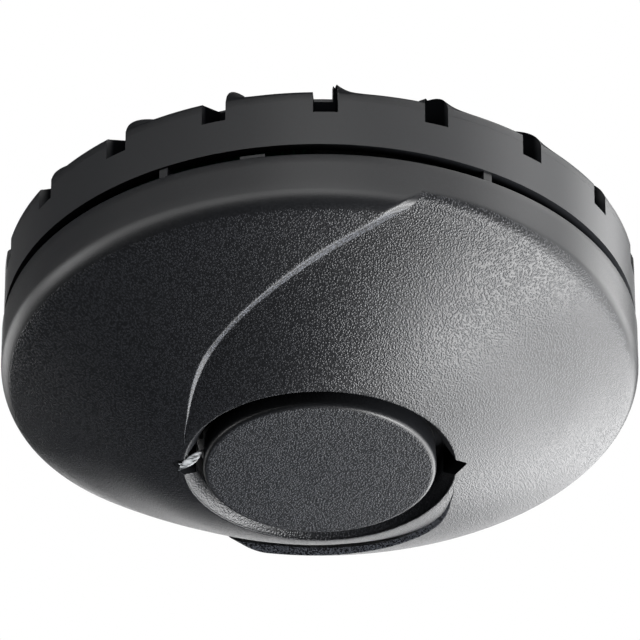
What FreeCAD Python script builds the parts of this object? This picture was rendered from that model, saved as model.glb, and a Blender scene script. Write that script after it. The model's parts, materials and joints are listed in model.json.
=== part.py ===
import FreeCAD, Part
import math
import os

Vector = FreeCAD.Vector

# A ceiling smoke alarm, in millimetres. The origin is the middle of the ceiling face, +Z points
# into the ceiling and the alarm hangs below it. An azimuth is in degrees: 0 is the near side (-Y)
# and 90 is +X.

# Heights of the case, each a depth under the ceiling or under the level before it
back_depth = 3.2           # ceiling to the back's middle face
slot_top_depth = 24.0      # ceiling to the smoke slot's upper edge
slot_height = 2.7
notch_floor_rise = 8.45    # slot's upper edge to the floor of the notches
band_depth = 8.9           # slot's lower edge to the start of the shoulder curve
flank_start_drop = 17.4    # slot's upper edge to the start of the dome's flank
rim_drop = 36.7            # slot's upper edge to the rim of the well
disc_proud = 0.95          # the button's face stands this far below the rim
well_depth = 7.5

# Radii of the case
ring_radius = 70.0
band_radius = 70.3
shoulder_radius = 6.0
rim_radius = 29.6
well_floor_radius = 28.8
flank_bulge = 0.9          # how far the flank's arc stands off its chord
wall = 2.2
void_radius = ring_radius - wall

# Back ring
notch_count = 18
notch_angle = 4.4
notch_phase = 1.0
notch_reach = 10.5         # how far a notch is cut in from the ring's wall
low_edge_rise = 4.7        # notch floor to the low end of a tooth
low_corner = 0.9
low_slope = 0.49
high_rise = 3.9            # the high end rises by high_rise + high_gain * sqrt(depth)
high_gain = 3.35
ramp_angle = 5.6
ramp_steps = 4
rim_wall_radius = 57.5
recess_radius = 54.0
recess_inner_radius = 46.2
recess_depth = 5.6         # ceiling to the recess floor

# Bracket
bracket_thickness = 2.2
bracket_radius = 53.5
bracket_opening_radius = 44.3
bracket_slot_x = 12.5      # middle of each screw slot
bracket_slot_y = 46.8
bracket_slot_half_width = 2.1
bracket_slot_length = 11.0
hook_azimuths = (45.0, 135.0, 225.0, 315.0)
hook_angle = 13.0
hook_leg_inner = 48.2
hook_leg_outer = 50.0
hook_foot_outer = 52.5
hook_foot_thickness = 1.2
ledge_thickness = 0.9
ledge_gap = 0.3
ledge_over_plate = 0.2

# Battery, its bay and door
battery_size = Vector(26.5, 46.4, 17.5)
battery_terminal_height = 2.0
battery_edge = 1.6
bay_left = 0.9
bay_clearance = 1.05       # beside the battery, each side
bay_half_length = 27.0
bay_wall = 2.6
door_thickness = 1.8
door_sink = 0.2            # door face below the back's middle face
door_overlap = 1.2         # how far the door laps over the bay's edge
fit_gap = 0.3
seat_gap = 0.2
battery_top_gap = 1.0      # door's underside to the battery

# Door hinge
hinge_pin_radius = 0.8
hinge_bore_gap = 0.15
knuckle_radius = 1.5
hinge_offset = 2.1         # door edge to the hinge axis
knuckle_length = 10.0
knuckle_centre = 13.0
hinge_half_length = 22.0
hinge_relief = 0.7         # door's hinge edge to the wall of its seat

# Circuit board
board_thickness = 1.6
board_over_slot = 2.0      # slot's upper edge to the board's underside
board_radius = 63.5
board_edge = -2.3
board_posts = ((-8.0, -48.0), (-54.0, 4.0), (-7.5, 55.0))
post_radius = 3.2
pilot_radius = 0.9
board_screw_radius = 1.25

# Screws that hold the cover to the back
cover_screw_azimuths = (60.0, 180.0, 300.0)
cover_screw_circle = 50.0
boss_radius = 4.2
boss_drop = 0.6            # boss end below the slot's upper edge
screw_head_radius = 2.8
screw_head_height = 2.2
screw_shank_radius = 1.5
screw_length = 11.0
screw_web = 2.5
counterbore_gap = 0.5

# Button, its spring and switch
button_radius = 25.6
button_edge = 1.2
button_wall = 1.7
button_skirt_height = 6.6
button_travel = 1.0
leg_azimuths = (-15.0, 105.0, 225.0)
leg_inner = 22.2
leg_outer = 24.2
leg_angle = 10.0
leg_hook = 0.9
leg_gap = 0.4
spring_radius = 3.0
spring_wire = 0.35
spring_turns = 4
spring_steps = 14          # sections in each turn
switch_size = 6.0
switch_height = 4.0
plunger_radius = 1.75
plunger_length = 2.9
plunger_reach = 1.8        # plunger's end below the switch body
plunger_gap = 0.2

# Sounder
mouth_radius = 12.0
spoke_width = 3.0
hub_radius = 4.6
sounder_radius = 20.5
sounder_height = 12.2
sounder_wall = 1.5
piezo_radius = 17.5
piezo_thickness = 0.5
horn_hole_radius = 6.0
contact_radius = 0.5
contact_spots = ((-4.0, -7.0), (-8.0, 0.0), (-4.0, 7.0))
cover_floor = 2.0

# Smoke chamber
chamber_spot = Vector(-30.0, 26.0, 0)
chamber_radius = 19.0
chamber_base_height = 2.0
chamber_height = 15.5
vane_count = 14
vane_inner = 11.5
vane_outer = 16.6
vane_thickness = 0.9
vane_lean = 38.0
screen_radius = 17.7
screen_thickness = 0.35
eye_radius = 2.5
eye_length = 6.5

# Light and light pipe
light_azimuth = -90.0
light_circle = 30.0
light_radius = 1.5
light_height = 4.4
pipe_radius = 1.8
pipe_gap = 0.4
notch_depth = 2.5          # V-notch apex beyond the rim
notch_half_width = 2.9     # at the rim
notch_apex_half_width = 0.3
notch_inset = 2.5          # how far inside the rim a notch's cut starts

# Smoke slot ribs and snap tabs
rib_count = 6
rib_phase = 31.2
rib_width = 2.0
tab_azimuths = (-12.0, 108.0, 228.0)
tab_angle = 4.5

# S-shaped steps in the dome: the raised side's edge in plan, from the well out past the shoulder
step_edge = ((-30.0, -9.0), (-30.0, -14.3), (-26.9, -28.8), (-15.5, -47.8), (4.3, -62.6),
             (23.2, -65.8), (42.0, -65.2))
step_rise = 0.117          # step height for each mm outside the well
step_start = 30.8
step_fade_start = 67.0     # from this radius out to the band the step sinks to a share of that height
step_band_share = 0.15
step_span = 62.0           # degrees over which the lower side climbs back
step_turn = 113.0          # degrees that the step's edge turns for each unit of log radius
step_outer_azimuth = 19.4
step_clear = 0.05
shoulder_points = 6
flank_points = 10

# Levels that follow
slot_top = -slot_top_depth
slot_bottom = slot_top - slot_height
notch_floor = slot_top + notch_floor_rise
back_face = -back_depth
flank_start = slot_top - flank_start_drop
rim_level = slot_top - rim_drop
well_floor = rim_level + well_depth
floor_top = well_floor + cover_floor
disc_face = rim_level - disc_proud
board_bottom = slot_top + board_over_slot
board_top = board_bottom + board_thickness
recess_floor = -recess_depth
door_top = back_face - door_sink
door_bottom = door_top - door_thickness
battery_top = door_bottom - battery_top_gap
battery_bottom = battery_top - battery_size.z
hinge_level = door_bottom + door_thickness / 2
bay_right = bay_left + battery_size.x + 2 * bay_clearance
door_left = bay_left - door_overlap
door_right = bay_right + door_overlap
hinge_x = door_right + hinge_offset
boss_end = slot_top - boss_drop


def polar(radius, azimuth, level=0.0):
    angle = math.radians(azimuth)
    return Vector(radius * math.sin(angle), -radius * math.cos(angle), level)


def polygon_wire(points):
    return Part.makePolygon(list(points) + [points[0]])


def turned(outline):
    # A solid of revolution from (radius, level) corners.
    wire = polygon_wire([Vector(radius, 0, level) for radius, level in outline])
    return Part.Face(wire).revolve(Vector(0, 0, 0), Vector(0, 0, 1), 360)


def tube(outer, inner, bottom, top, spot=Vector(0, 0, 0)):
    solid = Part.makeCylinder(outer, top - bottom, spot + Vector(0, 0, bottom))
    if inner > 0:
        solid = solid.cut(Part.makeCylinder(inner, top - bottom + 2, spot + Vector(0, 0, bottom - 1)))
    return solid


def sector(inner, outer, bottom, top, middle, angle):
    # A block between two radii, with radial sides, centred on an azimuth.
    start = middle - angle / 2
    wire = polygon_wire([polar(inner, start, bottom), polar(outer, start, bottom),
                         polar(outer, start, top), polar(inner, start, top)])
    return Part.Face(wire).revolve(Vector(0, 0, 0), Vector(0, 0, 1), angle)


def block(low, high):
    size = high - low
    return Part.makeBox(size.x, size.y, size.z, low)


def every(count, phase=0.0):
    return [phase + 360.0 / count * index for index in range(count)]


def low_rise(depth):
    return low_edge_rise + low_corner + low_slope * (depth - low_corner)


def high_end_rise(depth):
    return high_rise + high_gain * math.sqrt(depth)


def make_bracket():
    plate = tube(bracket_radius, bracket_opening_radius, -bracket_thickness, 0)
    foot_top = -(bracket_thickness + ledge_thickness + ledge_over_plate + ledge_gap)
    foot_bottom = foot_top - hook_foot_thickness
    hooks = []
    windows = []
    for azimuth in hook_azimuths:
        hooks.append(sector(hook_leg_inner, hook_leg_outer, foot_bottom, -bracket_thickness / 2,
                            azimuth, hook_angle))
        hooks.append(sector(hook_leg_inner, hook_foot_outer, foot_bottom, foot_top, azimuth, hook_angle))
        windows.append(sector(hook_leg_outer, hook_foot_outer + ledge_gap, -bracket_thickness - 1, 1,
                              azimuth, hook_angle))
    slots = []
    straight = bracket_slot_length / 2 - bracket_slot_half_width
    height = bracket_thickness + 2
    for x in (-bracket_slot_x, bracket_slot_x):
        for y in (-bracket_slot_y, bracket_slot_y):
            middle = Vector(x, y, -bracket_thickness - 1)
            slots.append(Part.makeBox(2 * straight, 2 * bracket_slot_half_width, height,
                                      middle - Vector(straight, bracket_slot_half_width, 0)))
            slots += [Part.makeCylinder(bracket_slot_half_width, height, middle + Vector(end * straight, 0, 0))
                      for end in (-1, 1)]
    return plate.cut(slots + windows).fuse(hooks).removeSplitter()


def tooth_ramps():
    # Each tooth rises at one end: a loft of sections between the high and the low line.
    ramps = []
    inner_depth = ring_radius - (rim_wall_radius + recess_radius) / 2
    depths = [low_corner + 0.5, 2.8, 5.0, 8.0, inner_depth]
    for azimuth in every(notch_count, notch_phase):
        sections = []
        for step in range(ramp_steps + 1):
            share = step / ramp_steps
            weight = (1 - share) ** 2
            # The first section starts inside the notch, which is cut afterwards.
            turn = azimuth + notch_angle * 0.4 + share * (ramp_angle + notch_angle * 0.1)
            line = []
            for depth in depths:
                rise = low_rise(depth) + weight * (high_end_rise(depth) - low_rise(depth))
                line.append(polar(ring_radius - depth, turn, notch_floor + rise - 0.03))
            under = [polar(ring_radius - depth, turn, notch_floor + low_rise(depth) - 1.5)
                     for depth in (depths[-1], depths[0])]
            sections.append(polygon_wire(line + under))
        ramps.append(Part.makeLoft(sections, True, True))
    return ramps


def tooth_cores():
    # The teeth are hollow from below, between the walls of the notches.
    cores = []
    pitch = 360.0 / notch_count
    core_angle = pitch - notch_angle - 2 * math.degrees(wall / ring_radius)
    core_top = notch_floor + low_edge_rise - wall
    for azimuth in every(notch_count, notch_phase + pitch / 2):
        cores.append(sector(ring_radius - notch_reach + wall, void_radius, slot_top - 1, core_top,
                            azimuth, core_angle))
    return cores


def cover_screw_spots():
    return [polar(cover_screw_circle, azimuth) for azimuth in cover_screw_azimuths]


def hinge_cylinder(radius, low, high):
    return Part.makeCylinder(radius, high - low, Vector(hinge_x, low, hinge_level), Vector(0, 1, 0))


def knuckle_spans(gap):
    half = knuckle_length / 2 + gap
    return [(side * knuckle_centre - half, side * knuckle_centre + half) for side in (-1, 1)]


def make_back():
    notch_inner = ring_radius - notch_reach
    top_depth = ring_radius - rim_wall_radius
    body = turned([(0, slot_top - 1), (0, back_face), (recess_inner_radius, back_face),
                   (recess_inner_radius, recess_floor), (recess_radius, recess_floor),
                   (recess_radius, back_face), (rim_wall_radius, back_face),
                   (rim_wall_radius, notch_floor + low_rise(top_depth)),
                   (ring_radius - low_corner, notch_floor + low_rise(low_corner)),
                   (ring_radius - low_corner * 0.3, notch_floor + low_rise(0)),
                   (ring_radius, notch_floor + low_edge_rise), (ring_radius, slot_top), (void_radius, slot_top),
                   (void_radius, slot_top - 1)])
    body = body.fuse(tooth_ramps())
    notches = [sector(notch_inner, ring_radius + 1, notch_floor, 0, azimuth, notch_angle)
               for azimuth in every(notch_count, notch_phase)]
    void_inner = notch_inner - wall
    void_top = recess_floor - wall
    middle_top = back_face - wall
    middle_radius = recess_inner_radius - wall
    void = turned([(0, slot_top - 2), (0, middle_top), (middle_radius, middle_top), (middle_radius, void_top),
                   (void_inner, void_top), (void_inner, notch_floor - wall), (void_radius, notch_floor - wall),
                   (void_radius, slot_top - 2)])
    body = body.cut(notches + tooth_cores() + [void])

    ledge_top = -(bracket_thickness + ledge_over_plate)
    parts = [sector(hook_leg_outer + 2 * ledge_gap, recess_radius + 0.5, ledge_top - ledge_thickness, ledge_top,
                    azimuth, hook_angle) for azimuth in hook_azimuths]
    # The battery bay, a walled box under the middle face, and the hinge block beside it
    bay_low = Vector(bay_left - bay_wall, -bay_half_length - bay_wall, battery_bottom - wall)
    bay_high = Vector(bay_right + bay_wall, bay_half_length + bay_wall, middle_top + 0.5)
    parts.append(block(bay_low, bay_high))
    hinge_block_right = hinge_x + knuckle_radius + 1.4
    parts.append(block(Vector(bay_right, -hinge_half_length, hinge_level - knuckle_radius - 1.4),
                       Vector(hinge_block_right, hinge_half_length, middle_top + 0.5)))
    for spot in board_posts:
        parts.append(tube(post_radius, 0, board_top, void_top + 2.5, Vector(spot[0], spot[1], 0)))
    for spot in cover_screw_spots():
        parts.append(tube(boss_radius, 0, boss_end, void_top + 0.5, spot))
    body = body.fuse(parts)

    cuts = [block(Vector(bay_left, -bay_half_length, battery_bottom),
                  Vector(bay_right, bay_half_length, 0))]
    cuts.append(block(Vector(door_left - fit_gap, -bay_half_length - door_overlap - fit_gap, door_bottom - seat_gap),
                      Vector(door_right + hinge_relief, bay_half_length + door_overlap + fit_gap, 0)))
    for low, high in knuckle_spans(fit_gap):
        cuts.append(hinge_cylinder(knuckle_radius + fit_gap, low, high))
        cuts.append(block(Vector(door_right, low, hinge_level - knuckle_radius - fit_gap),
                          Vector(hinge_x + knuckle_radius + fit_gap, high, 0)))
    cuts.append(hinge_cylinder(hinge_pin_radius, -hinge_half_length + 1.0, hinge_half_length - 1.0))
    # A finger recess beside the door's free edge
    cuts.append(Part.makeCylinder(7.0, 1.2, Vector(door_left - fit_gap, 0, back_face - 1.2)))
    for spot in board_posts:
        cuts.append(tube(pilot_radius, 0, board_top - 1, board_top + 8, Vector(spot[0], spot[1], 0)))
    for spot in cover_screw_spots():
        cuts.append(tube(screw_head_radius + counterbore_gap, 0, boss_end + screw_web, 0, spot))
        cuts.append(tube(screw_shank_radius + seat_gap, 0, boss_end - 1, boss_end + screw_web + 1, spot))
    return body.cut(cuts).removeSplitter()


def make_battery():
    middle_x = (bay_left + bay_right) / 2
    high_y = bay_half_length - 1.0
    low_y = high_y - battery_size.y
    case = block(Vector(middle_x - battery_size.x / 2, low_y, battery_bottom),
                 Vector(middle_x + battery_size.x / 2, high_y, battery_top))
    long_edges = [edge for edge in case.Edges if abs(edge.tangentAt(edge.FirstParameter).y) > 0.99]
    case = case.makeFillet(battery_edge, long_edges)
    middle_z = (battery_bottom + battery_top) / 2
    posts = []
    for side, radius in ((-1, 2.9), (1, 3.7)):
        centre = Vector(middle_x + side * 6.35, low_y - battery_terminal_height, middle_z)
        posts.append(Part.makeCylinder(radius, battery_terminal_height + 0.5, centre, Vector(0, 1, 0)))
    return case.fuse(posts).removeSplitter(), low_y - battery_terminal_height, middle_x, middle_z


def make_terminals(terminal_y, middle_x, middle_z):
    # The snap plate stands on the bay's end wall and meets the battery's two snaps.
    plate = block(Vector(middle_x - 11.5, -bay_half_length, middle_z - 6.5),
                  Vector(middle_x + 11.5, terminal_y - 1.4, middle_z + 6.5))
    snaps = []
    for side, radius in ((-1, 3.7), (1, 2.9)):
        centre = Vector(middle_x + side * 6.35, terminal_y - 1.6, middle_z)
        snaps.append(Part.makeCylinder(radius, 1.6, centre, Vector(0, 1, 0)))
    return plate.fuse(snaps).removeSplitter()


def make_door():
    plate = block(Vector(door_left, -bay_half_length - door_overlap, door_bottom),
                  Vector(door_right, bay_half_length + door_overlap, door_top))
    corners = [edge for edge in plate.Edges
               if abs(edge.tangentAt(edge.FirstParameter).z) > 0.99 and edge.CenterOfMass.x < bay_left]
    plate = plate.makeFillet(3.0, corners)
    parts = []
    for low, high in knuckle_spans(0):
        parts.append(hinge_cylinder(knuckle_radius, low, high))
        parts.append(block(Vector(door_right - 1, low, door_bottom), Vector(hinge_x, high, door_top)))
    for y in (-12.0, 12.0):
        parts.append(block(Vector(bay_left + 4, y - 0.6, battery_top + fit_gap),
                           Vector(bay_right - 4, y + 0.6, door_bottom + 0.5)))
    door = plate.fuse(parts)
    grips = [block(Vector(door_left + 2.0 + 2.2 * row, -6, door_top - 0.5),
                   Vector(door_left + 3.1 + 2.2 * row, 6, door_top + 1)) for row in range(3)]
    bore = hinge_cylinder(hinge_pin_radius + hinge_bore_gap, -hinge_half_length, hinge_half_length)
    return door.cut(grips + [bore]).removeSplitter()


def make_hinge_pin():
    return hinge_cylinder(hinge_pin_radius, -hinge_half_length + 1.0, hinge_half_length - 1.0)


def step_azimuth(radius):
    # The step's edge is close to a logarithmic spiral.
    return step_outer_azimuth + step_turn * math.log(radius / band_radius)


def step_height(radius, azimuth):
    # Full beside the raised edge, and falling smoothly to nothing round the lower side.
    share = (azimuth - step_azimuth(radius)) / step_span
    share = min(max(share, 0.0), 1.0)
    fall = 0.5 * (1 + math.cos(math.pi * share))
    fade = min(max((radius - step_fade_start) / (band_radius - step_fade_start), 0.0), 1.0)
    fade = 1 - (1 - step_band_share) * fade * fade * (3 - 2 * fade)
    return step_rise * (radius - step_start) * fall * fade - step_clear


def flank_arc():
    # The flank's arc from the shoulder to the rim, as its middle, radius and end angle values.
    outer = (band_radius - shoulder_radius * 0.65, flank_start)
    inner = (rim_radius, rim_level)
    run = outer[0] - inner[0]
    fall = outer[1] - inner[1]
    chord = math.hypot(run, fall)
    middle = ((outer[0] + inner[0]) / 2 + flank_bulge * fall / chord,
              (outer[1] + inner[1]) / 2 - flank_bulge * run / chord)
    radius = (chord ** 2 / 4 + flank_bulge ** 2) / (2 * flank_bulge)
    centre = (middle[0] - radius * fall / chord, middle[1] + radius * run / chord)
    return centre, radius


def flank_level(radius):
    centre, arc = flank_arc()
    return centre[1] - math.sqrt(arc ** 2 - (radius - centre[0]) ** 2)


def shoulder_middle():
    # The shoulder's arc touches the band inside and the flank's arc inside.
    centre, arc = flank_arc()
    across = band_radius - shoulder_radius
    return across, centre[1] - math.sqrt((arc - shoulder_radius) ** 2 - (across - centre[0]) ** 2)


def shoulder_end():
    # Where the shoulder's arc meets the flank.
    centre, arc = flank_arc()
    across, level = shoulder_middle()
    reach = shoulder_radius / (arc - shoulder_radius)
    return across + (across - centre[0]) * reach, level + (level - centre[1]) * reach


def dome_outline(inset, end_radius, top):
    # The dome's section in the XZ plane, drawn inset from the outer face: band, shoulder, flank.
    across, level = shoulder_middle()
    end = shoulder_end()
    centre, arc = flank_arc()
    bend = shoulder_radius - inset
    scale = bend / shoulder_radius
    first = Vector(across + bend, 0, level)
    last = Vector(across + (end[0] - across) * scale, 0, level + (end[1] - level) * scale)
    turn = math.radians(27)
    halfway = Vector(across + bend * math.cos(turn), 0, level - bend * math.sin(turn))
    flank = arc - inset

    def on_flank(radius):
        return Vector(radius, 0, centre[1] - math.sqrt(flank ** 2 - (radius - centre[0]) ** 2))

    rim = on_flank(end_radius)
    edges = [Part.LineSegment(Vector(first.x, 0, top), first).toShape(),
             Part.Arc(first, halfway, last).toShape(),
             Part.Arc(last, on_flank((last.x + end_radius) / 2), rim).toShape()]
    return edges, rim


def dome_solid(inset, end_radius, top, floor):
    edges, rim = dome_outline(inset, end_radius, top)
    corners = [rim, Vector(end_radius, 0, floor), Vector(0, 0, floor), Vector(0, 0, top),
               edges[0].Vertexes[0].Point]
    edges += [Part.LineSegment(corners[index], corners[index + 1]).toShape()
              for index in range(len(corners) - 1) if corners[index].distanceToPoint(corners[index + 1]) > 1e-6]
    return Part.Face(Part.Wire(edges)).revolve(Vector(0, 0, 0), Vector(0, 0, 1), 360)


def step_cutter():
    # What lies below the lowered side: sections on radial planes, lofted, kept on one side of the step's edge.
    across, level = shoulder_middle()
    end = shoulder_end()
    end_turn = math.atan2(level - end[1], end[0] - across)
    inner_radius = 27.0
    outer_reach = band_radius + 9
    under = rim_level - 12
    over = slot_bottom + 6
    sections = []
    for index in range(21):
        azimuth = -70.0 + 11.75 * index
        line = []
        for part in range(flank_points + 1):
            radius = inner_radius + (end[0] - inner_radius) * part / flank_points
            line.append(polar(radius, azimuth, flank_level(radius) + step_height(radius, azimuth)))
        lift = step_height(band_radius, azimuth)
        share = (lift - step_height(end[0], azimuth)) / end_turn
        for part in range(1, shoulder_points + 1):
            turn = end_turn * (1 - part / shoulder_points)
            reach = shoulder_radius * math.cos(turn) + step_clear * part / shoulder_points
            rise = lift - share * turn
            line.append(polar(across + reach, azimuth, level - shoulder_radius * math.sin(turn) + rise))
        spline = Part.BSplineCurve()
        upright = Vector(0, 0, 1)
        first = line[1] - line[0]
        spline.interpolate(Points=line, InitialTangent=first.normalize(), FinalTangent=upright)
        corners = [line[-1], polar(band_radius + step_clear, azimuth, over), polar(outer_reach, azimuth, over),
                   polar(outer_reach, azimuth, under), polar(inner_radius, azimuth, under), line[0]]
        edges = [spline.toShape()] + [Part.LineSegment(corners[i], corners[i + 1]).toShape() for i in range(5)]
        sections.append(Part.Wire(edges))
    swept = Part.makeLoft(sections, True, False)
    edge = Part.BSplineCurve()
    edge.interpolate([Vector(x, y, under - 1) for x, y in step_edge])
    far = band_radius * 1.4
    last = Vector(step_edge[-1][0], step_edge[-1][1], under - 1)
    first = Vector(step_edge[0][0], step_edge[0][1], under - 1)
    corners = [last, Vector(far, last.y, under - 1), Vector(far, far, under - 1),
               Vector(far * math.tan(math.radians(15)), far, under - 1), Vector(0, 0, under - 1), first]
    sides = [Part.LineSegment(corners[i], corners[i + 1]).toShape() for i in range(5)]
    plan = Part.Face(Part.Wire([edge.toShape()] + sides))
    return swept.common(plan.extrude(Vector(0, 0, over - under + 2)))


def opposite(solid):
    turned_solid = solid.copy()
    turned_solid.rotate(Vector(0, 0, 0), Vector(0, 0, 1), 180)
    return turned_solid


def notch_prism(side, apex, half_width, bottom, top):
    # A V-notch in the well's wall: side is 1 at +X and -1 at -X.
    base = rim_radius - notch_inset
    base_half = half_width * (apex - base) / (apex - rim_radius)
    points = [Vector(side * base, -base_half, bottom), Vector(side * base, base_half, bottom),
              Vector(side * apex, notch_apex_half_width, bottom),
              Vector(side * apex, -notch_apex_half_width, bottom)]
    return Part.Face(polygon_wire(points)).extrude(Vector(0, 0, top - bottom))


def spokes():
    return [sector(hub_radius - 1, mouth_radius + 1, well_floor, floor_top, azimuth,
                   2 * math.degrees(math.asin(spoke_width / 2 / hub_radius))) for azimuth in every(3, 45.0)]


def make_cover():
    cutter = step_cutter()
    outer = dome_solid(0, rim_radius, slot_bottom, rim_level).cut(cutter).cut(opposite(cutter))
    inner_cutter = cutter.copy()
    inner_cutter.translate(Vector(-1.2, -1.2, wall))
    void = dome_solid(wall, rim_radius + wall, slot_bottom + 2, floor_top)
    void = void.cut(inner_cutter).cut(opposite(inner_cutter))
    guard = rim_radius + notch_depth + wall
    for side in (-1, 1):
        void = void.cut(block(Vector(min(0, side * guard), -notch_half_width - wall, rim_level - 5),
                              Vector(max(0, side * guard), notch_half_width + wall, floor_top)))
    cover = outer.cut(void)

    # The well, its V-notches, and what goes through its floor
    cuts = [turned([(0, rim_level - 1), (rim_radius, rim_level - 1), (rim_radius, rim_level),
                    (well_floor_radius, well_floor), (0, well_floor)]),
            tube(mouth_radius, 0, well_floor - 1, floor_top + 1)]
    for side in (-1, 1):
        cuts.append(notch_prism(side, rim_radius + notch_depth, notch_half_width, well_floor, rim_level - 1))
    for azimuth in leg_azimuths:
        cuts.append(sector(leg_inner - leg_gap, leg_outer + leg_hook + leg_gap, well_floor - 1, floor_top + 1,
                           azimuth, leg_angle + 2))
    cuts.append(tube(pipe_radius + seat_gap, 0, well_floor - 1, floor_top + 1, polar(light_circle, light_azimuth)))
    for azimuth in every(3, 45.0):
        cuts.append(sector(leg_outer + 2, well_floor_radius - 1, well_floor - 1, floor_top + 1, azimuth, 30))
    cover = cover.cut(cuts)

    parts = spokes()
    parts.append(tube(hub_radius, 0, well_floor, floor_top))
    for azimuth in every(rib_count, rib_phase):
        width = math.degrees(rib_width / ring_radius)
        parts.append(sector(void_radius - 1.5, ring_radius - 0.5, slot_bottom - 2, slot_top, azimuth, width))
    for azimuth in tab_azimuths:
        parts.append(sector(void_radius - 0.3, ring_radius - 0.1, slot_bottom - 1, slot_bottom + slot_height / 2,
                            azimuth, tab_angle))
    boss_top = boss_end - seat_gap
    for azimuth, spot in zip(cover_screw_azimuths, cover_screw_spots()):
        boss = tube(boss_radius - 0.4, 0, rim_level, boss_top, spot).common(void)
        parts.append(boss)
    cover = cover.fuse(parts)
    pilots = [tube(pilot_radius + 0.3, 0, boss_top - screw_length, boss_top + 1, spot)
              for spot in cover_screw_spots()]
    return cover.cut(pilots).removeSplitter()


def make_button():
    back = disc_face + button_skirt_height
    inner = button_radius - button_wall
    curve = button_edge * 0.3
    cap = turned([(0, disc_face), (button_radius - button_edge, disc_face),
                  (button_radius - curve, disc_face + curve), (button_radius, disc_face + button_edge),
                  (button_radius - 0.3, back), (inner - 0.3, back), (inner - 0.3, disc_face + 2 * button_wall),
                  (inner - 2, disc_face + button_wall), (0, disc_face + button_wall)])
    parts = [tube(spring_radius - spring_wire - 0.5, 0, disc_face + 1, disc_face + button_wall + 2.5)]
    switch_end = board_bottom - switch_height - plunger_reach - plunger_gap
    hook_level = floor_top + leg_gap
    for azimuth in leg_azimuths:
        tip = switch_end if azimuth == leg_azimuths[0] else hook_level + 2.4
        parts.append(sector(leg_inner, leg_outer, disc_face + 1, tip, azimuth, leg_angle))
        outline = [polar(leg_outer - 0.5, azimuth, hook_level), polar(leg_outer + leg_hook, azimuth, hook_level),
                   polar(leg_outer, azimuth, hook_level + 2.2), polar(leg_outer - 0.5, azimuth, hook_level + 2.2)]
        hook = Part.Face(polygon_wire(outline)).revolve(Vector(0, 0, 0), Vector(0, 0, 1), leg_angle)
        hook.rotate(Vector(0, 0, 0), Vector(0, 0, 1), -leg_angle / 2)
        parts.append(hook)
    for azimuth in every(6, 20.0):
        rib = sector(spring_radius + 2, inner - 0.5, disc_face + 1, disc_face + button_wall + 1.2, azimuth, 3.2)
        parts.append(rib)
    return cap.fuse(parts).removeSplitter()


def make_spring():
    # A coil between the button and the hub: six-sided sections of the wire, one after another.
    low = disc_face + button_wall + spring_wire
    climb = well_floor - spring_wire - low
    middle = spring_radius - spring_wire
    sections = []
    for step in range(spring_turns * spring_steps + 1):
        turn = 360.0 * step / spring_steps
        level = low + climb * step / (spring_turns * spring_steps)
        corners = []
        for side in range(6):
            angle = math.radians(60.0 * side)
            corners.append(polar(middle + spring_wire * math.cos(angle), turn, level + spring_wire * math.sin(angle)))
        sections.append(polygon_wire(corners))
    return Part.makeLoft(sections, True, True)


def switch_spot():
    return polar((leg_inner + leg_outer) / 2, leg_azimuths[0])


def make_switch():
    spot = switch_spot()
    half = Vector(switch_size / 2, switch_size / 2, 0)
    bottom = board_bottom - switch_height
    body = block(spot - half + Vector(0, 0, bottom), spot + half + Vector(0, 0, board_bottom))
    bore = tube(plunger_radius + plunger_gap, 0, bottom - 1, bottom + plunger_length - plunger_reach +
                button_travel + fit_gap, spot)
    plunger = tube(plunger_radius, 0, bottom - plunger_reach, bottom + plunger_length - plunger_reach, spot)
    return body.cut(bore), plunger


def make_board():
    disc = tube(board_radius, 0, board_bottom, board_top)
    half = block(Vector(-board_radius - 1, -board_radius - 1, board_bottom - 1),
                 Vector(board_edge, board_radius + 1, board_top + 1))
    board = disc.common(half)
    cuts = [tube(boss_radius + 0.6, 0, board_bottom - 1, board_top + 1, spot) for spot in cover_screw_spots()]
    cuts += [tube(board_screw_radius + 0.15, 0, board_bottom - 1, board_top + 1, Vector(x, y, 0))
             for x, y in board_posts]
    return board.cut(cuts)


def make_board_screws():
    screws = []
    for x, y in board_posts:
        spot = Vector(x, y, 0)
        head = tube(2.4, 0, board_bottom - 1.6, board_bottom, spot)
        head = head.makeChamfer(0.5, [edge for edge in head.Edges if edge.CenterOfMass.z < board_bottom - 1.5])
        shank = tube(pilot_radius, 0, board_bottom - 0.5, board_top + 6.5, spot)
        cross = [block(spot + Vector(-1.4, -0.3, board_bottom - 2), spot + Vector(1.4, 0.3, board_bottom - 0.9)),
                 block(spot + Vector(-0.3, -1.4, board_bottom - 2), spot + Vector(0.3, 1.4, board_bottom - 0.9))]
        screws.append(head.fuse(shank).cut(cross))
    return Part.makeCompound(screws)


def make_cover_screws():
    screws = []
    seat = boss_end + screw_web
    for spot in cover_screw_spots():
        head = tube(screw_head_radius, 0, seat, seat + screw_head_height, spot)
        head = head.makeChamfer(0.6, [edge for edge in head.Edges
                                      if edge.CenterOfMass.z > seat + screw_head_height - 0.1])
        shank = tube(pilot_radius + 0.3, 0, seat - screw_length, seat + 0.5, spot)
        top = seat + screw_head_height
        cross = [block(spot + Vector(-1.7, -0.4, top - 1.3), spot + Vector(1.7, 0.4, top + 1)),
                 block(spot + Vector(-0.4, -1.7, top - 1.3), spot + Vector(0.4, 1.7, top + 1))]
        screws.append(head.fuse(shank).cut(cross))
    return Part.makeCompound(screws)


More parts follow.
